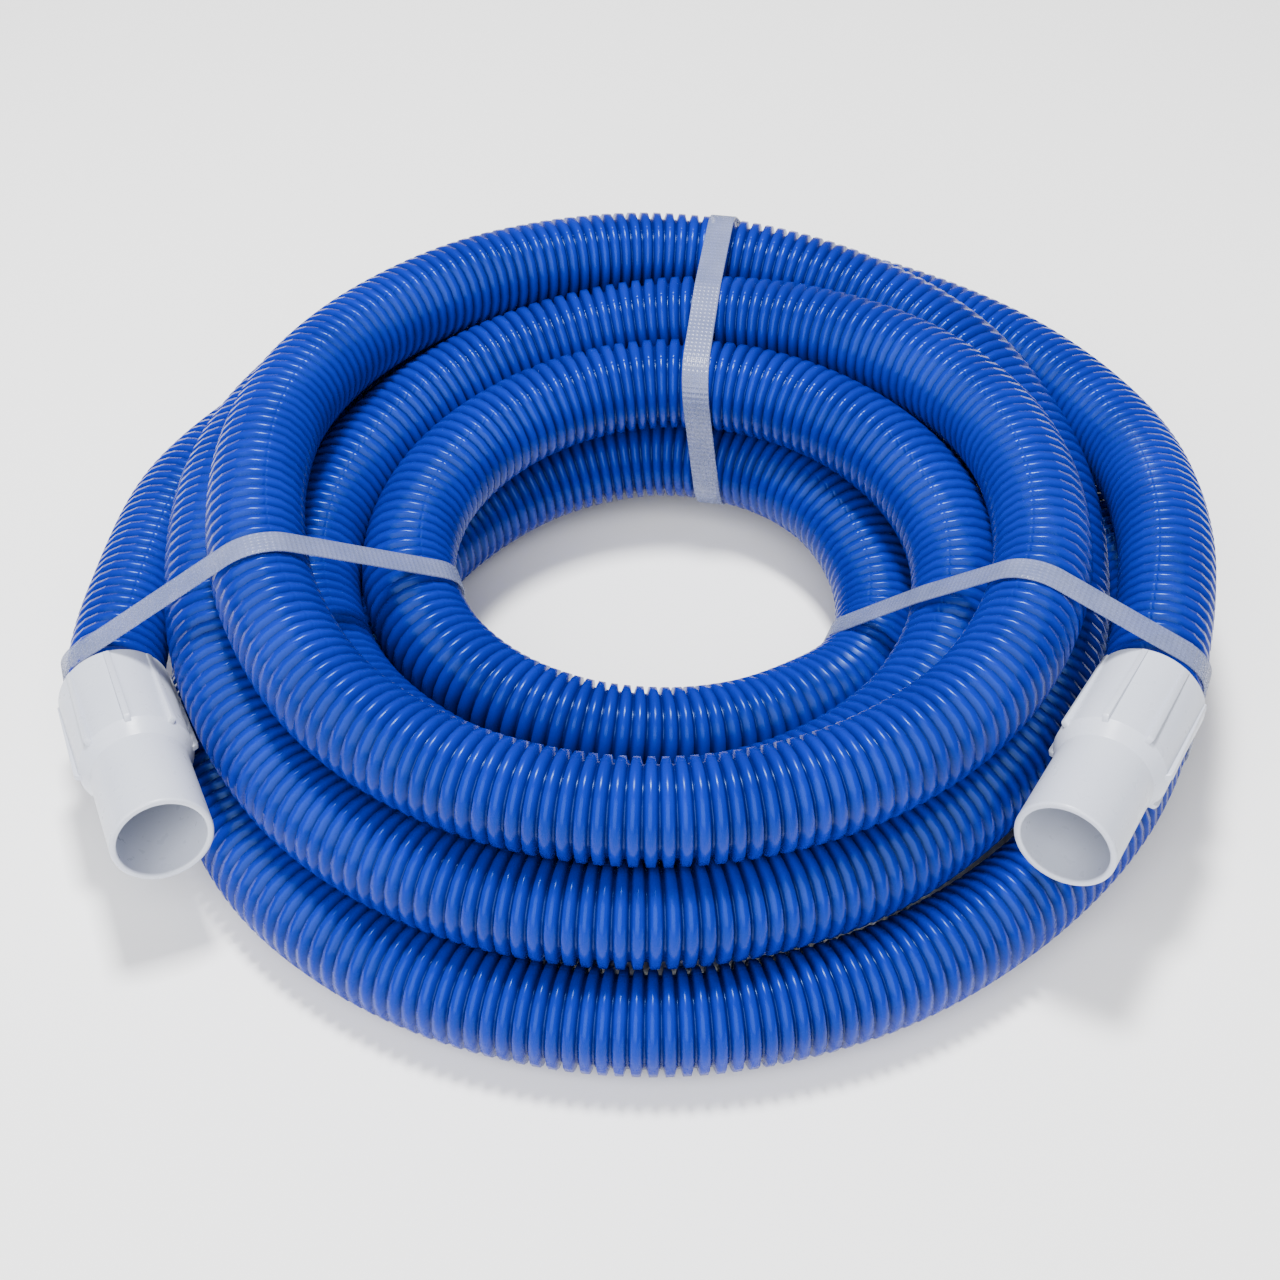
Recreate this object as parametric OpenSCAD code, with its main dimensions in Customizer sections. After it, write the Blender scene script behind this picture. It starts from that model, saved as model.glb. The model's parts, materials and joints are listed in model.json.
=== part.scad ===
// Pool vacuum hose, coiled and held by three straps.
//
// One long ribbed hose lies in a coil. It starts at the left cuff, spirals in along the
// floor, climbs, and spirals out over its own turns to the right cuff. It is drawn in four
// stretches that meet end to end. Both cuffs turn freely on the hose: beads inside a collar
// sit in the grooves of the hose's last ribs.
// Millimetres. The floor is z = 0, +X is to the right and the cuffs point towards -Y.

/* [Hose] */
// outside diameter over the ribs
hose_od = 45; // [36:0.5:60]
// mean wall of the ribbed tube
hose_wall = 1.6; // [1.2:0.1:2.4]
// from one rib to the next
rib_pitch = 6.4; // [5.8:0.1:9]
// flat crest of a rib, along the hose
rib_crest = 3.4; // [2.4:0.1:3.8]
// depth of the groove between two ribs
rib_depth = 2.7; // [2:0.1:3.2]
// wall of a single rib
rib_wall = 0.9; // [0.7:0.1:1.4]
// clear gap between two turns that lie side by side
turn_gap = 0.8; // [0.4:0.1:3]

/* [Cuffs] */
// bore that fits over a vacuum head or a wall fitting
bore_d = 38.8; // [30:0.1:50]
// straight front part of a cuff
spigot_len = 46; // [30:1:70]
// wall of the spigot at the mouth
spigot_wall = 3; // [2.5:0.1:6]
// how much wider the spigot's radius is at its mouth than at its root
spigot_flare = 0.4; // [0:0.1:1]
// slope between spigot and collar
shoulder_len = 7.5; // [4:0.5:14]
// collar that takes the end of the hose
collar_len = 49.5; // [36:0.5:80]
// wall of the collar
collar_wall = 2.8; // [2:0.1:5]
// grip ribs round a collar
grips = 8; // [4:1:12]
// width of a grip rib
grip_w = 3; // [1.5:0.1:5]
// how far a grip rib's front tip stands proud of the collar
grip_tip = 2.1; // [1:0.1:4]
// how far a grip rib stands proud at the rim
grip_rim = 0.6; // [0.3:0.1:2]
// chamfer inside the mouth
mouth_chamfer = 1.2; // [0.4:0.1:2]
// rounded-off edge of the spigot
edge = 0.8; // [0.3:0.1:1.5]

/* [Swivel] */
// clearance between a collar and the ribs inside it
collar_play = 0.3; // [0.2:0.05:0.6]
// clearance between the hose's end face and the cuff's stop, and round a bead
bead_play = 0.35; // [0.25:0.05:0.5]
// retaining beads inside a collar
beads = 2; // [1:1:4]

/* [Straps] */
// width of a strap
strap_w = 13; // [8:0.5:30]
// thickness of a strap
strap_t = 0.8; // [0.5:0.1:2]
// clearance between a strap and the hose's sides and top
strap_gap = 1.6; // [1:0.1:3]
// clearance between a strap and the hose that lies on it
strap_under = 0.3; // [0.2:0.1:1]

/* [Hidden] */
hose_r = hose_od / 2;
tube_r = hose_r - 0.5;                  // smooth stand-in for the rounded ribs of the coil
lay = hose_od + turn_gap;               // from turn to turn: the unit of the route below
lift = strap_t + strap_under - turn_gap / 2;
sides = 10;
ring_step = 22.5;

spigot_r = bore_d / 2 + spigot_wall;
stop_s = spigot_len + shoulder_len;     // the hose ends here, measured back from the mouth
cuff_len = stop_s + collar_len;
socket_r = hose_r + collar_play;
collar_r = socket_r + collar_wall;
groove_r = hose_r - rib_depth;
rib_flank = 0.4;
groove_w = rib_pitch - rib_crest - 2 * rib_flank;
bead_r = groove_r + 2 * bead_play;
bead_w = groove_w - 2 * bead_play;
end_ribs = beads + 1;

// The route: for each turn, the radius and the height of the hose's centre at eight places,
// 45 degrees apart, clockwise from the left. In units of lay, above the floor.
turns = [
    [[5.45, 1.15], [5.70, 0.80], [5.55, 0.55], [5.35, 0.50],      // along the floor
     [5.25, 0.60], [5.00, 0.55], [5.05, 0.50], [4.95, 0.50]],
    [[4.55, 0.50], [4.25, 0.50], [3.95, 0.50], [3.65, 0.50],      // and inwards
     [3.40, 0.50], [3.15, 0.50], [3.00, 0.50], [2.90, 0.50]],
    [[2.90, 0.55], [2.90, 0.60], [2.90, 0.85], [2.70, 0.90],      // round the hole
     [2.40, 0.70], [2.10, 1.00], [2.10, 1.20], [2.30, 1.35]],
    [[2.55, 1.50], [2.70, 1.70], [2.80, 1.90], [2.90, 1.90],      // back out on top
     [3.10, 1.75], [3.25, 1.55], [3.35, 1.45], [3.40, 1.40]],
    [[3.55, 1.45], [3.70, 1.70], [3.80, 2.05], [3.85, 2.30],
     [3.85, 2.45], [4.05, 2.35], [4.15, 2.30], [4.10, 2.35]],
    [[4.00, 2.60], [4.40, 2.45], [4.90, 2.25], [4.80, 1.95],
     [4.25, 1.35], [4.20, 1.25], [4.55, 1.40], [4.55, 1.40]],
    [[4.55, 1.75], [5.15, 1.65], [5.65, 1.55], [5.80, 1.45],      // and down to the end
     [5.25, 1.85]]
];
stations = [for (turn = turns) each turn];
last = len(stations) - 1;

// Rims of the two collars in units of lay, and the way each cuff points: azimuth and tilt,
// and how far it happens to be turned on the hose.
left_rim = [-5.389, -1.508, 1.217];
left_way = [-68.6, 3, 0];
right_rim = [4.742, -2.095, 1.765];
right_way = [-119, 0, 12];

// Strap planes: azimuth, how far the plane passes from the middle at the floor, in units of
// lay, and how far it leans for each unit of height.
left_plane = [196.6, -1.0, 0.4];
back_plane = [81, -0.34, 0.12];
right_plane = [-22, 0.72, -0.3];

function unit(v) = v / norm(v);
function pointing(way) = [cos(way[0]) * cos(way[1]), sin(way[0]) * cos(way[1]), sin(way[1])];
function place(q) = lay * q + [0, 0, lift];
function station(i) =
    i < 0 ? 2 * stations[0] - stations[1] :
    i > last ? 2 * stations[last] - stations[last - 1] : stations[i];
function curve(a, b, c, d, t) =
    (2 * b + (c - a) * t + (2 * a - 5 * b + 4 * c - d) * t * t
     + (3 * b - a - 3 * c + d) * t * t * t) / 2;
function coil_at(turned) =
    let (k = min(floor(turned / 45), last - 1),
         q = curve(station(k - 1), station(k), station(k + 1), station(k + 2), turned / 45 - k))
    place([q[0] * cos(180 - turned), q[0] * sin(180 - turned), q[1]]);

left_axis = pointing(left_way);
right_axis = pointing(right_way);
left_end = place(left_rim);
right_end = place(right_rim);
coil = [for (turned = [0 : ring_step : 45 * last]) coil_at(turned)];
path = [left_end, each coil, right_end];

// A ring of the hose: centre, way along the hose, outside and inside radius.
function heading(i) = unit(path[i + 1] - path[i - 1]);
coil_rings = [for (i = [1 : len(path) - 2]) [path[i], heading(i), tube_r, tube_r - hose_wall]];

// Rings of a hose end inside its collar, from its end face to the rim: distance behind the
// stop, outside radius.
end_profile = [
    for (k = [0 : end_ribs - 1])
        let (x = bead_play + k * rib_pitch)
        each [[x, hose_r], [x + rib_crest, hose_r],
              [x + rib_crest + rib_flank, groove_r], [x + rib_pitch - rib_flank, groove_r]],
    [bead_play + end_ribs * rib_pitch, hose_r],
    [collar_len - rib_crest, hose_r]
];
function end_rings(rim, axis, way) =
    [for (p = end_profile) [rim + axis * (collar_len - p[0]), way, p[1], p[1] - rib_wall]];
function reversed(v) = [for (i = [len(v) - 1 : -1 : 0]) v[i]];

rings = [
    each end_rings(left_end, left_axis, -left_axis),
    [left_end, -left_axis, tube_r, tube_r - hose_wall],
    each coil_rings,
    [right_end, right_axis, tube_r, tube_r - hose_wall],
    each reversed(end_rings(right_end, right_axis, right_axis))
];

function ring_points(ring, r) =
    let (side = unit(cross(ring[1], [0, 0, 1])), up = cross(side, ring[1]))
    [for (i = [0 : sides - 1])
        let (a = 360 * (i + 0.5) / sides) ring[0] + r * (cos(a) * side + sin(a) * up)];
skin = [for (ring = rings) each ring_points(ring, ring[2])];
function ring_at(turned) = len(end_profile) + 1 + turned / ring_step;

// Where the hose crosses a strap's plane: [distance out along the strap, height, how much
// wider than round the hose is there because it crosses at a slant].
function crossings(azimuth, off, lean) =
    let (out = [cos(azimuth), sin(azimuth), 0],
         along = [-sin(azimuth), cos(azimuth), -lean])
    [for (i = [0 : len(path) - 2])
        let (step = path[i + 1] - path[i], f = path[i] * along - off, g = f + step * along)
        if (f * g < 0)
            let (q = path[i] - step * f / (step * along))
            if (q * out > 0) [q * out, q[2], norm([1, (step * out) / (step * along)])]];
function strap_passes(plane) =
    [for (side = [-1, 0, 1])
        each crossings(plane[0], plane[1] * lay + side * strap_w / 2, plane[2])];

// The middle of everything, seen from above.
strap_planes = [left_plane, back_plane, right_plane];
strap_tips = [for (plane = strap_planes, side = [-1, 1])
    let (reach = max([for (p = strap_passes(plane)) p[0] + p[2] * (hose_r + strap_gap + strap_t)]),
         off = (plane[1] + plane[2] * path[1][2] / lay) * lay + side * strap_w / 2)
    [reach * cos(plane[0]) - off * sin(plane[0]), reach * sin(plane[0]) + off * cos(plane[0])]];
xs = [for (p = concat(skin, strap_tips)) p[0]];
ys = [for (p = concat(skin, strap_tips)) p[1]];
middle = [(min(xs) + max(xs)) / 2, (min(ys) + max(ys)) / 2, 0];

// Rings of points joined to a tube. inwards = true turns its faces to the tube's inside.
function tube_faces(first, count, inwards) =
    [for (j = [0 : count - 2], i = [0 : sides - 1])
        let (a = first + j * sides + i, b = first + j * sides + (i + 1) % sides,
             c = b + sides, d = a + sides)
        each inwards ? [[a, c, b], [a, d, c]] : [[a, b, c], [a, c, d]]];
function end_faces(outer, inner, back) =
    [for (i = [0 : sides - 1])
        let (j = (i + 1) % sides, a = outer + i, b = outer + j, c = inner + j, d = inner + i)
        each back ? [[a, c, b], [a, d, c]] : [[a, b, c], [a, c, d]]];

// The hose from one ring to another.
module stretch(first, end) {
    count = end - first + 1;
    inside = count * sides;
    far = (count - 1) * sides;
    color([0.05, 0.19, 0.68])
    translate(-middle)
    polyhedron(
        points = [for (i = [first : end]) each ring_points(rings[i], rings[i][2]),
                  for (i = [first : end]) each ring_points(rings[i], rings[i][3])],
        faces = concat(tube_faces(0, count, false), tube_faces(inside, count, true),
                       end_faces(0, inside, true), end_faces(far, inside + far, false)));
}

module hose_floor() { stretch(0, ring_at(630)); }
module hose_inner() { stretch(ring_at(630), ring_at(1260)); }
module hose_top() { stretch(ring_at(1260), ring_at(1800)); }
module hose_outer() { stretch(ring_at(1800), len(rings) - 1); }

// A cuff stands on the z axis with its mouth at z = 0, open upwards.
function bead_outline(k) =
    let (z = -(stop_s + bead_play + k * rib_pitch + (rib_pitch + rib_crest) / 2))
    [[socket_r, z - bead_w / 2 - rib_flank], [bead_r, z - bead_w / 2],
     [bead_r, z + bead_w / 2], [socket_r, z + bead_w / 2 + rib_flank]];

module cuff_body() {
    rotate_extrude($fn = 96)
    polygon([
        [bore_d / 2 + mouth_chamfer, 0],
        [spigot_r - edge, 0],
        [spigot_r, -edge],
        [spigot_r - spigot_flare, -spigot_len],
        [collar_r, -stop_s],
        [collar_r, -cuff_len],
        [socket_r + edge, -cuff_len],
        [socket_r, -cuff_len + edge],
        each [for (k = [beads - 1 : -1 : 0]) each bead_outline(k)],
        [socket_r, -stop_s],
        [bore_d / 2, -stop_s],
        [bore_d / 2, -mouth_chamfer]
    ]);
}

// A grip rib runs along the collar, rises towards the front and ends where the collar does.
module grip_rib() {
    buried = collar_r - collar_wall / 2;
    rotate([90, 0, 0])
    linear_extrude(grip_w, center = true)
    polygon([
        [buried, -cuff_len + edge],
        [collar_r + grip_rim, -cuff_len + edge],
        [collar_r + grip_tip, -stop_s - 0.5],
        [collar_r + grip_tip - edge / 2, -stop_s + 0.5],
        [buried, -stop_s + shoulder_len / 4]
    ]);
}

module cuff(rim, axis, way) {
    color([0.93, 0.94, 0.96])
    translate(rim + axis * cuff_len - middle)
    rotate([0, 90 - way[1], way[0]]) {
        cuff_body();
        for (i = [0 : grips - 1]) rotate(way[2] + 360 * i / grips) grip_rib();
    }
}

module left_cuff() { cuff(left_end, left_axis, left_way); }
module right_cuff() { cuff(right_end, right_axis, right_way); }

// A strap is a closed band in its leaning plane, pulled round every turn that crosses it.
module strap_outline(passes, r, floor_z) {
    intersection() {
        hull() for (p = passes) translate([p[0], p[1]]) scale([p[2], 1]) circle(r, $fn = 32);
        translate([0, floor_z]) square([8 * lay, 5 * lay]);
    }
}

module strap(plane) {
    passes = strap_passes(plane);
    inner_r = hose_r + strap_gap;
    low = -lay;
    high = 5 * lay;
    edge_at = [for (z = [low, high]) plane[1] * lay - strap_w / 2 + plane[2] * z];
    color([0.72, 0.75, 0.84])
    translate(-middle)
    rotate(plane[0])
    intersection() {
        rotate([90, 0, 0])
        linear_extrude(8 * lay, center = true)
        difference() {
            strap_outline(passes, inner_r + strap_t, 0);
            strap_outline(passes, inner_r, strap_t);
        }
        rotate([90, 0, 90])
        linear_extrude(8 * lay)
        polygon([[edge_at[0], low], [edge_at[0] + strap_w, low],
                 [edge_at[1] + strap_w, high], [edge_at[1], high]]);
    }
}

module strap_left() { strap(left_plane); }
module strap_back() { strap(back_plane); }
module strap_right() { strap(right_plane); }

hose_floor();
hose_inner();
hose_top();
hose_outer();
left_cuff();
right_cuff();
strap_left();
strap_back();
strap_right();
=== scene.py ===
"""Pool vacuum hose: a coiled ribbed hose, two white swivel cuffs and three embossed straps.

Metres. The route, the cuffs and the strap planes repeat the named sizes of the CAD source;
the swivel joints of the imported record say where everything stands.
"""
import json
import math

import bmesh
import bpy
import numpy as np
from mathutils import Matrix, Vector


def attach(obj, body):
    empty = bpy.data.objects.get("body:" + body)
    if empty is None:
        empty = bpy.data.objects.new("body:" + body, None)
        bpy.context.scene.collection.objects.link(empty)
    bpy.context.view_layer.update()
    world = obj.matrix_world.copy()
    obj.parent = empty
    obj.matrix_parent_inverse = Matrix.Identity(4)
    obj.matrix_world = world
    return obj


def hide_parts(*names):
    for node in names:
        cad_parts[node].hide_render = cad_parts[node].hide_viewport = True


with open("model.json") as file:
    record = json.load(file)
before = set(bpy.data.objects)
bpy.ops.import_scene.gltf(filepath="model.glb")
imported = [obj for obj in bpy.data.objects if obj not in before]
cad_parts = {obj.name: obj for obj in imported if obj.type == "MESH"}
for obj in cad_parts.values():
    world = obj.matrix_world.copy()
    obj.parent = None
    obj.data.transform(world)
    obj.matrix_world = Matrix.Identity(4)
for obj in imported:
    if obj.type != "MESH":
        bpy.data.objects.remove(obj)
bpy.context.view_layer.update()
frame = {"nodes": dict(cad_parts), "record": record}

# ---------------------------------------------------------------- sizes

MM = 0.001
hose_r = 22.5 * MM                   # over the ribs
groove_r = 19.3 * MM
lining_r = 17.8 * MM                 # the smooth inside
hose_end_gap = 0.4 * MM              # from the hose's cut end to the stop in the cuff
hose_sides = 20
rib_pitch = 6.4 * MM
# one rib, from groove to groove: share of the pitch and radius
rib_shape = [(0, groove_r), (0.20, groove_r), (0.35, hose_r), (0.85, hose_r)]
lay = 45.8 * MM                      # from turn to turn

bore_r = 19.4 * MM
spigot_r = 22.4 * MM                 # at the mouth
spigot_flare = 0.4 * MM              # how much less its radius is at its root
spigot_len = 46 * MM
stop_s = 53.5 * MM                   # the hose ends here, behind the mouth
collar_len = 49.5 * MM
cuff_len = stop_s + collar_len
collar_r = 25.6 * MM
collar_wall = 2.8 * MM
socket_r = hose_r + 0.3 * MM         # the collar's inside
cuff_sides = 72
grip_count = 8
grip_w = 3 * MM
grip_low = 0.7 * MM                  # how far a grip rib stands out at the rim
grip_high = 2.1 * MM                 # and near its front end

strap_w = 13 * MM
strap_t = 0.7 * MM
strap_clear = 0.4 * MM               # between a strap and the hose
strap_lift = 0.1 * MM                # between a strap and the floor
cell_len = 2.6 * MM                  # a pressed cell of the strap's pattern
cells_across = 6
cell_rim = 0.42 * MM
cell_depth = 0.3 * MM

# For each turn, the radius and the height of the hose's centre above the floor at eight places,
# clockwise from the left, in units of lay.
station_angle = 45                   # degrees from place to place
turns = [
    [(5.45, 1.15), (5.70, 0.80), (5.55, 0.55), (5.35, 0.50),
     (5.25, 0.60), (5.00, 0.55), (5.05, 0.50), (4.95, 0.50)],
    [(4.55, 0.50), (4.25, 0.50), (3.95, 0.50), (3.65, 0.50),
     (3.40, 0.50), (3.15, 0.50), (3.00, 0.50), (2.90, 0.50)],
    [(2.90, 0.55), (2.90, 0.60), (2.90, 0.85), (2.70, 0.90),
     (2.40, 0.70), (2.10, 1.00), (2.10, 1.20), (2.30, 1.35)],
    [(2.55, 1.50), (2.70, 1.70), (2.80, 1.90), (2.90, 1.90),
     (3.10, 1.75), (3.25, 1.55), (3.35, 1.45), (3.40, 1.40)],
    [(3.55, 1.45), (3.70, 1.70), (3.80, 2.05), (3.85, 2.30),
     (3.85, 2.45), (4.05, 2.35), (4.15, 2.30), (4.10, 2.35)],
    [(4.00, 2.60), (4.40, 2.45), (4.90, 2.25), (4.80, 1.95),
     (4.25, 1.35), (4.20, 1.25), (4.55, 1.40), (4.55, 1.40)],
    [(4.55, 1.75), (5.15, 1.65), (5.65, 1.55), (5.80, 1.45), (5.25, 1.85)],
]
stations = np.array([place for turn in turns for place in turn])

left_rim = Vector((-5.389, -1.508, 1.217)) * lay
left_way = (-68.6, 3)                # azimuth and tilt of a cuff, in degrees
right_rim = Vector((4.742, -2.095, 1.765)) * lay
right_way = (-119, 0)
right_roll = 12                      # degrees the right cuff is turned about its own axis

# Strap planes: azimuth, how far the plane passes from the middle at the floor, in units of lay,
# and how far it leans for each unit of height.
strap_planes = {
    "strap_left": (196.6, -1.0, 0.4),
    "strap_back": (81, -0.34, 0.12),
    "strap_right": (-22, 0.72, -0.3),
}


def pointing(way):
    """The direction that a cuff's mouth points in."""
    azimuth, tilt = map(math.radians, way)
    level = math.cos(tilt)
    return Vector((math.cos(azimuth) * level, math.sin(azimuth) * level, math.sin(tilt)))


left_axis, right_axis = pointing(left_way), pointing(right_way)
joints = {joint["name"]: joint for joint in frame["record"]["behaviour"]["joints"]}
placed = Vector(joints["left_cuff_swivel"]["pos_m"]) - (left_rim + left_axis * collar_len)


# ---------------------------------------------------------------- the hose's route

def through(points, steps):
    """A smooth curve through the points: steps places for each stretch between two."""
    points = np.asarray(points, float)
    ends = 2 * points[0] - points[1], 2 * points[-1] - points[-2]
    p = np.vstack([ends[0], points, ends[1]])
    out = []
    for k in range(1, len(p) - 2):
        for t in np.arange(steps) / steps:
            a, b, c, d = p[k - 1:k + 3]
            out.append((2 * b + (c - a) * t + (2 * a - 5 * b + 4 * c - d) * t * t
                        + (3 * b - a - 3 * c + d) * t ** 3) / 2)
    return np.array(out + [p[-2]])


def coil_places():
    """The hose's centre round the coil, two places for each one that is listed."""
    between = 2
    radius_height = through(stations, between) * lay
    turned = np.radians(180 - station_angle / between * np.arange(len(radius_height)))
    r, z = radius_height.T
    return np.column_stack([r * np.cos(turned), r * np.sin(turned), z])


def route():
    """The hose's centreline from stop to stop in short steps, and how far along each place is."""
    knots = np.vstack([
        left_rim + left_axis * collar_len, left_rim, coil_places(),
        right_rim, right_rim + right_axis * collar_len]) + np.array(placed)
    line = through(knots, steps=24)
    gone = np.concatenate([[0], np.cumsum(np.linalg.norm(np.diff(line, axis=0), axis=1))])
    return line, gone


centreline, gone = route()
hose_length = float(gone[-1])


def centre_at(x):
    return np.column_stack([np.interp(x, gone, centreline[:, i]) for i in range(3)])


def frames_at(x):
    """Centre, and the sideways and upward directions square to the hose, at each distance x."""
    centre = centre_at(x)
    reach = 4 * MM
    along = centre_at(x + reach) - centre_at(x - reach)
    along /= np.linalg.norm(along, axis=1)[:, None]
    side = np.cross(along, (0, 0, 1))
    side /= np.linalg.norm(side, axis=1)[:, None]
    return centre, side, np.cross(side, along)


# ---------------------------------------------------------------- materials

def material(name, colour, roughness):
    made = bpy.data.materials.new(name)
    made.use_nodes = True
    shader = made.node_tree.nodes["Principled BSDF"]
    shader.inputs["Base Color"].default_value = (*colour, 1)
    shader.inputs["Roughness"].default_value = roughness
    return made, made.node_tree, shader


def node(tree, kind, **values):
    made = tree.nodes.new("ShaderNode" + kind)
    for key, value in values.items():
        if hasattr(made, key):
            setattr(made, key, value)
        else:
            made.inputs[key.replace("_", " ")].default_value = value
    return made


def ramp(tree, source, low, high, dark, light):
    """A colour between dark and light as source runs from low to high."""
    made = tree.nodes.new("ShaderNodeValToRGB")
    made.color_ramp.elements[0].position, made.color_ramp.elements[1].position = low, high
    made.color_ramp.elements[0].color = (*dark, 1)
    made.color_ramp.elements[1].color = (*light, 1)
    tree.links.new(source, made.inputs["Fac"])
    return made


def noise(tree, coords, scale, detail=3.0):
    made = node(tree, "TexNoise", Scale=scale, Detail=detail)
    tree.links.new(coords, made.inputs["Vector"])
    return made.outputs["Fac"]


def worked_out(tree, operation, *values):
    """One step of arithmetic on numbers or sockets."""
    made = tree.nodes.new("ShaderNodeMath")
    made.operation = operation
    for socket, value in zip(made.inputs, values):
        if isinstance(value, (int, float)):
            socket.default_value = value
        else:
            tree.links.new(value, socket)
    return made.outputs[0]


def bump(tree, shader, height, distance, strength=1.0):
    made = node(tree, "Bump", Strength=strength, Distance=distance)
    tree.links.new(height, made.inputs["Height"])
    tree.links.new(made.outputs["Normal"], shader.inputs["Normal"])


def hose_plastic():
    made, tree, shader = material("hose_blue_plastic", (0.0004, 0.011, 0.23), 0.27)
    shader.inputs["Specular IOR Level"].default_value = 0.3
    shader.inputs["Specular Tint"].default_value = (0.3, 0.55, 1.0, 1)
    coords = tree.nodes.new("ShaderNodeTexCoord").outputs["Object"]
    lengthwise = tree.nodes.new("ShaderNodeUVMap")
    lengthwise.uv_map = "along_and_round"
    parts = tree.nodes.new("ShaderNodeSeparateXYZ")
    tree.links.new(lengthwise.outputs["UV"], parts.inputs["Vector"])
    cloud = ramp(tree, noise(tree, coords, 26), 0.3, 0.7,
                 (0.0003, 0.009, 0.20), (0.0006, 0.013, 0.27))
    # painted shade: the base colour is darkened in the grooves, where shade falls between the ribs;
    # off_groove is 0 in the middle of a groove and 0.5 in the middle of a rib
    phase = worked_out(tree, "FRACT", worked_out(tree, "ADD", parts.outputs["X"], 0.4))
    off_groove = worked_out(tree, "ABSOLUTE", worked_out(tree, "SUBTRACT", phase, 0.5))
    # the painted groove shade, multiplied into the base colour below
    painted_groove_shade = ramp(tree, off_groove, 0.08, 0.26, (0.2, 0.24, 0.34), (1, 1, 1))
    colour = tree.nodes.new("ShaderNodeMixRGB")
    colour.blend_type = "MULTIPLY"
    colour.inputs["Fac"].default_value = 1
    tree.links.new(cloud.outputs["Color"], colour.inputs["Color1"])
    tree.links.new(painted_groove_shade.outputs["Color"], colour.inputs["Color2"])
    tree.links.new(colour.outputs["Color"], shader.inputs["Base Color"])
    gloss = ramp(tree, noise(tree, coords, 240, 2), 0.25, 0.75, (0.22,) * 3, (0.32,) * 3)
    tree.links.new(gloss.outputs["Color"], shader.inputs["Roughness"])
    # two parting lines run along the hose, opposite each other, one of them 18 degrees off the top
    half_turns = worked_out(tree, "FRACT", worked_out(tree, "MULTIPLY", parts.outputs["Y"], 2.0))
    off_seam = worked_out(tree, "ABSOLUTE", worked_out(tree, "SUBTRACT", half_turns, 0.10))
    seam = ramp(tree, off_seam, 0.0, 0.014, (1, 1, 1), (0, 0, 0)).outputs["Color"]
    grain = worked_out(tree, "MULTIPLY", noise(tree, coords, 900, 2), 0.12)
    bump(tree, shader, worked_out(tree, "ADD", seam, grain), 0.0002, 0.5)
    return made


def cuff_plastic():
    made, tree, shader = material("cuff_white_plastic", (0.50, 0.525, 0.59), 0.3)
    coords = tree.nodes.new("ShaderNodeTexCoord").outputs["Object"]
    colour = ramp(tree, noise(tree, coords, 18), 0.3, 0.7,
                  (0.46, 0.49, 0.58), (0.50, 0.53, 0.61))
    tree.links.new(colour.outputs["Color"], shader.inputs["Base Color"])
    gloss = ramp(tree, noise(tree, coords, 160, 2), 0.25, 0.75, (0.25,) * 3, (0.36,) * 3)
    tree.links.new(gloss.outputs["Color"], shader.inputs["Roughness"])
    bump(tree, shader, noise(tree, coords, 420, 2), 0.00006, 0.5)
    return made


def strap_film():
    made, tree, shader = material("strap_translucent_film", (0.24, 0.28, 0.44), 0.25)
    shader.inputs["Transmission Weight"].default_value = 0.35
    shader.inputs["IOR"].default_value = 1.45
    shader.inputs["Alpha"].default_value = 0.7
    coords = tree.nodes.new("ShaderNodeTexCoord").outputs["Object"]
    colour = ramp(tree, noise(tree, coords, 60), 0.3, 0.7,
                  (0.20, 0.24, 0.42), (0.27, 0.31, 0.50))
    tree.links.new(colour.outputs["Color"], shader.inputs["Base Color"])
    gloss = ramp(tree, noise(tree, coords, 500, 2), 0.25, 0.75, (0.18,) * 3, (0.32,) * 3)
    tree.links.new(gloss.outputs["Color"], shader.inputs["Roughness"])
    return made


def floor_paper():
    made, tree, shader = material("floor_white_paper", (0.93, 0.93, 0.93), 0.9)
    coords = tree.nodes.new("ShaderNodeTexCoord").outputs["Object"]
    bump(tree, shader, noise(tree, coords, 300), 0.00002, 0.2)
    return made


# ---------------------------------------------------------------- pieces

def finish_piece(name, bm, finish, body, replaced, crisp=False):
    """Makes a piece of the shape. A crisp one keeps its sharp edges sharp."""
    mesh = bpy.data.meshes.new(name)
    bm.to_mesh(mesh)
    bm.free()
    mesh.materials.append(finish)
    mesh.polygons.foreach_set("use_smooth", [True] * len(mesh.polygons))
    if crisp:
        mesh.set_sharp_from_angle(angle=math.radians(35))
    piece = bpy.data.objects.new(name, mesh)
    bpy.context.scene.collection.objects.link(piece)
    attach(piece, body)
    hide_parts(*replaced)
    return piece


def spun(bm, outline, steps, axis):
    """Spins a closed outline of points round the axis through the origin."""
    verts = [bm.verts.new(point) for point in outline]
    edges = [bm.edges.new(pair) for pair in zip(verts, verts[1:] + verts[:1])]
    bmesh.ops.spin(bm, geom=verts + edges, axis=axis, cent=(0, 0, 0), angle=math.tau,
                   steps=steps, use_merge=True, use_normal_flip=False, use_duplicate=False)
    bmesh.ops.remove_doubles(bm, verts=bm.verts, dist=1e-6)
    bmesh.ops.recalc_face_normals(bm, faces=bm.faces)


def rib_count():
    return int((hose_length - 2 * (collar_len - rib_pitch)) / rib_pitch)


def first_groove():
    return (hose_length - rib_count() * rib_pitch) / 2


def rib_profile():
    """Radius against distance along the hose: a plain end in each collar, ribs between."""
    start, ribs = first_groove(), rib_count()
    profile = [(hose_end_gap, hose_r)]
    for k in range(ribs):
        x = start + k * rib_pitch
        profile += [(x + share * rib_pitch, r) for share, r in rib_shape]
    profile += [(start + ribs * rib_pitch, groove_r), (hose_length - hose_end_gap, hose_r)]
    return profile


def lining_profile():
    """The smooth inside, back from the far end, with a ring for every five ribs."""
    rings = int(hose_length / (5 * rib_pitch))
    return [(x, lining_r) for x in np.linspace(hose_length - hose_end_gap, hose_end_gap, rings)]


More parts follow.
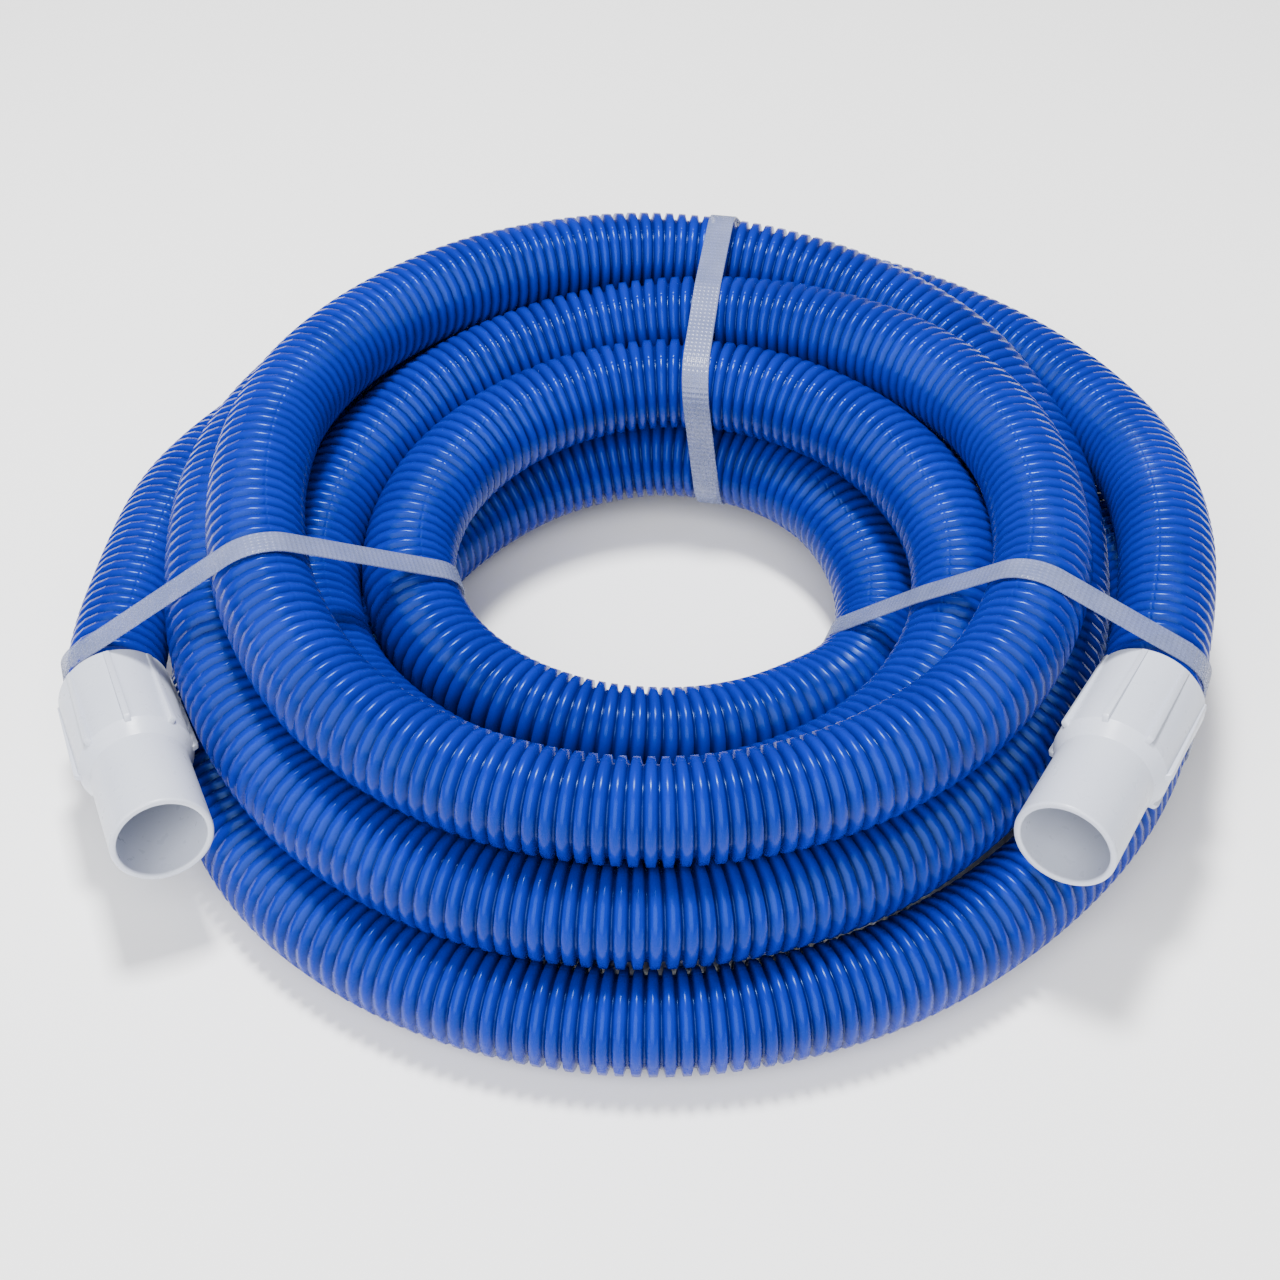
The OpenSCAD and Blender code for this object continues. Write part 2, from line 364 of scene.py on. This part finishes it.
def unwrap(mesh, x, angle):
    """The UV layer: ribs along the hose from its first groove, and turns round it."""
    corner = np.empty(len(mesh.loops), int)
    mesh.loops.foreach_get("vertex_index", corner)
    angle = angle[corner].reshape(-1, 4)
    # a face across the join of the full turn keeps its corners on one side of it
    angle[(np.ptp(angle, axis=1) > math.pi)[:, None] & (angle < 0)] += math.tau
    ribs_along = (x[corner] - first_groove()) / rib_pitch
    turns_round = angle.ravel() / math.tau + 0.5
    layer = mesh.uv_layers.new(name="along_and_round")
    layer.data.foreach_set("uv", np.column_stack([ribs_along, turns_round]).ravel())


def make_hose():
    """The whole hose, spun straight and then bent along its route."""
    stretches = [name for name in frame["nodes"] if name.startswith("hose")]
    bm = bmesh.new()
    spun(bm, [(x, 0, r) for x, r in rib_profile() + lining_profile()], hose_sides, (1, 0, 0))
    hose = finish_piece("hose_ribbed_tube", bm, hose_plastic(), "coil", stretches)
    mesh = hose.data
    co = np.empty(len(mesh.vertices) * 3)
    mesh.vertices.foreach_get("co", co)
    x, across, upward = co.reshape(-1, 3).T
    unwrap(mesh, x, np.arctan2(across, upward))

    centre, side, up = frames_at(x)
    bent = centre + across[:, None] * side + upward[:, None] * up
    mesh.vertices.foreach_set("co", bent.ravel())
    mesh.update()
    return hose


def rounded(corners, steps=3):
    """An outline from corners, each a radius, a height and a rounding.

    A point just outside each rounding keeps the straight beside it flat in the shading.
    """
    beside = 0.3 * MM
    outline = []
    for i, (r, z, rounding) in enumerate(corners):
        here = Vector((r, z))
        before = (Vector(corners[i - 1][:2]) - here).normalized()
        after = (Vector(corners[(i + 1) % len(corners)][:2]) - here).normalized()
        half = before.angle(after) / 2
        start, end = (here + way * rounding / math.tan(half) for way in (before, after))
        centre = here + (before + after).normalized() * rounding / math.sin(half)
        outline.append(start + before * beside)
        outline += [centre + (start - centre).slerp(end - centre, k / steps).normalized() * rounding
                    for k in range(steps + 1)]
        outline.append(end + after * beside)
    return [(p.x, 0, p.y) for p in outline]


def cuff_outline():
    """Half a cuff's section, round from the bore's mouth, with its heights from the mouth down."""
    return rounded([
        (bore_r, 0, 1.0 * MM),
        (spigot_r, 0, 1.1 * MM),
        (spigot_r - spigot_flare, -spigot_len, 0.5 * MM),
        (collar_r, -stop_s, 0.5 * MM),
        (collar_r, -cuff_len, 0.8 * MM),
        (socket_r, -cuff_len, 0.5 * MM),
        (socket_r, -stop_s, 0.3 * MM),
        (bore_r, -stop_s, 0.3 * MM),
    ])


def add_grip_rib(bm, turned):
    """One rib of the collar: low at the rim, highest near its front end."""
    buried = collar_r - collar_wall / 2
    rim_end = -cuff_len + 1.0 * MM
    outline = [
        (buried, rim_end),
        (collar_r + grip_low, rim_end),
        (collar_r + grip_high, -stop_s - 0.5 * MM),
        (collar_r + grip_high - 0.4 * MM, -stop_s + 0.5 * MM),
        (buried, -stop_s + 1.9 * MM),
    ]
    verts = [bm.verts.new((r, -grip_w / 2, z)) for r, z in outline]
    face = bm.faces.new(verts)
    pushed = bmesh.ops.extrude_face_region(bm, geom=[face])["geom"]
    moved = [v for v in pushed if isinstance(v, bmesh.types.BMVert)]
    bmesh.ops.translate(bm, vec=(0, grip_w, 0), verts=moved)
    solid = list(set(verts) | set(moved))
    edges = {e for v in solid for e in v.link_edges}
    faces = {f for v in solid for f in v.link_faces}
    bmesh.ops.recalc_face_normals(bm, faces=list(faces))
    made = bmesh.ops.bevel(bm, geom=list(edges), offset=0.45 * MM, affect="EDGES", segments=2,
                           profile=0.5, material=-1)
    around = {v for f in made["faces"] for v in f.verts}
    around |= {v for f in set(f for v in around for f in v.link_faces) for v in f.verts}
    bmesh.ops.rotate(bm, verts=list(around), cent=(0, 0, 0),
                     matrix=Matrix.Rotation(turned, 3, "Z"))


def make_cuff(name, replaced, rim, axis, way, roll=0):
    """A cuff, made mouth up at the origin and then turned and moved to its end of the hose."""
    azimuth, tilt = map(math.radians, way)
    bm = bmesh.new()
    spun(bm, cuff_outline(), cuff_sides, (0, 0, 1))
    for i in range(grip_count):
        add_grip_rib(bm, i * math.tau / grip_count + math.radians(roll))
    turn = Matrix.Rotation(azimuth, 4, "Z") @ Matrix.Rotation(math.pi / 2 - tilt, 4, "Y")
    move = Matrix.Translation(rim + axis * cuff_len + placed)
    bmesh.ops.transform(bm, matrix=move @ turn, verts=bm.verts)
    return finish_piece(name, bm, cuff_white, replaced, [replaced], crisp=True)


def outline_round(circles, radius, floor):
    """The band pulled round all the circles: a convex outline, no lower than the floor."""
    round_circle = np.linspace(0, math.tau, 73)[:-1]
    spots = sorted({(round(u + radius * math.cos(a), 6), round(max(z + radius * math.sin(a), floor), 6))
                    for u, z in circles for a in round_circle})

    def half(points):
        """The lower side of the outline, keeping only left turns."""
        out = []
        for p in points:
            while len(out) > 1 and ((out[-1][0] - out[-2][0]) * (p[1] - out[-2][1])
                                    - (out[-1][1] - out[-2][1]) * (p[0] - out[-2][0])) <= 0:
                out.pop()
            out.append(p)
        return out[:-1]

    return np.array(half(spots) + half(spots[::-1]))


def hose_in_plane(out, along, off, lean):
    """Where the hose passes through a strap, at both its edges and its middle: reach and height."""
    line = centreline - np.array(placed)
    circles = []
    for shift in (-strap_w / 2, 0, strap_w / 2):
        f = line @ along - off * lay - lean * line[:, 2] - shift
        for i in np.nonzero(f[:-1] * f[1:] < 0)[0]:
            q = line[i] + (line[i + 1] - line[i]) * f[i] / (f[i] - f[i + 1])
            if q @ out > 0:
                circles.append((q @ out, q[2]))
    return circles


def make_strap(name, azimuth, off, lean):
    """A flat band of pressed cells, given its thickness and then bent round the bundle."""
    a = math.radians(azimuth)
    out = np.array((math.cos(a), math.sin(a), 0))
    along = np.array((-math.sin(a), math.cos(a), 0))
    circles = hose_in_plane(out, along, off, lean)
    floor = strap_lift + strap_t / 2 - placed.z
    loop = outline_round(circles, hose_r + strap_clear + strap_t / 2, floor)
    loop = np.vstack([loop, loop[:1]])
    run = np.concatenate([[0], np.cumsum(np.linalg.norm(np.diff(loop, axis=0), axis=1))])
    length = run[-1]

    def on_loop(where):
        return np.array([np.interp(where % length, run, loop[:, i]) for i in (0, 1)])

    bm = bmesh.new()
    bmesh.ops.create_grid(bm, x_segments=int(length / cell_len), y_segments=cells_across, size=0.5,
                          matrix=Matrix.Diagonal((length, strap_w, 1, 1)))
    bmesh.ops.inset_individual(bm, faces=bm.faces[:], thickness=cell_rim, depth=-cell_depth,
                               use_even_offset=True)
    bmesh.ops.solidify(bm, geom=bm.faces[:], thickness=strap_t)
    ends = [f for f in bm.faces if all(abs(abs(v.co.x) - length / 2) < 1e-5 for v in f.verts)]
    bmesh.ops.delete(bm, geom=ends, context="FACES_ONLY")
    middle = max(v.co.z for v in bm.verts) - strap_t / 2
    reach = 1 * MM
    for v in bm.verts:
        where = v.co.x + length / 2
        here = on_loop(where)
        step = on_loop(where + reach) - on_loop(where - reach)
        step /= np.linalg.norm(step)
        u, z = here + (v.co.z - middle) * np.array((step[1], -step[0]))
        across = off * lay + lean * z + v.co.y
        v.co = Vector(out * u + along * across) + Vector((0, 0, z)) + placed
    bmesh.ops.remove_doubles(bm, verts=bm.verts, dist=1e-5)
    bmesh.ops.recalc_face_normals(bm, faces=bm.faces)
    return finish_piece(name + "_embossed", bm, strap_finish, "coil", [name])


# ---------------------------------------------------------------- camera, floor and light

def make_camera():
    """Looks back over the coil from the front, from a little more than a metre away."""
    downward = math.radians(42.2)
    away = 24.03 * lay
    target = Vector((-0.153, 0.002, 0.571)) * lay + placed
    forward = Vector((0, math.cos(downward), -math.sin(downward)))
    data = bpy.data.cameras.new("camera")
    data.sensor_width = 36
    data.lens = 63.4
    camera = bpy.data.objects.new("camera", data)
    camera.location = target - forward * away
    camera.rotation_mode = "QUATERNION"
    camera.rotation_quaternion = forward.to_track_quat("-Z", "Y")
    bpy.context.scene.collection.objects.link(camera)
    bpy.context.scene.camera = camera


def make_floor():
    half_width = 6
    bm = bmesh.new()
    bmesh.ops.create_grid(bm, x_segments=1, y_segments=1, size=half_width)
    mesh = bpy.data.meshes.new("floor")
    bm.to_mesh(mesh)
    bm.free()
    mesh.materials.append(floor_paper())
    floor = bpy.data.objects.new("floor", mesh)
    bpy.context.scene.collection.objects.link(floor)


def soft_light(name, place, power, size):
    """A square light that faces the middle of the floor."""
    data = bpy.data.lights.new(name, "AREA")
    data.energy = power
    data.size = size
    light = bpy.data.objects.new(name, data)
    light.location = place
    light.rotation_mode = "QUATERNION"
    light.rotation_quaternion = (-Vector(place)).to_track_quat("-Z", "Y")
    bpy.context.scene.collection.objects.link(light)


def make_light():
    world = bpy.data.worlds.new("studio")
    world.use_nodes = True
    background = world.node_tree.nodes["Background"]
    background.inputs["Color"].default_value = (1, 1, 1, 1)
    background.inputs["Strength"].default_value = 0.3
    bpy.context.scene.world = world
    soft_light("light_above", (-0.1, 0.25, 1.9), 80, 0.35)
    soft_light("light_front", (-0.5, -2.1, 1.6), 165, 3.0)


make_camera()
hose = make_hose()
cuff_white = cuff_plastic()
strap_finish = strap_film()
left_cuff = make_cuff("left_cuff_moulding", "left_cuff", left_rim, left_axis, left_way)
right_cuff = make_cuff("right_cuff_moulding", "right_cuff", right_rim, right_axis, right_way,
                       right_roll)
straps = [make_strap(name, *plane) for name, plane in strap_planes.items()]
make_floor()
make_light()
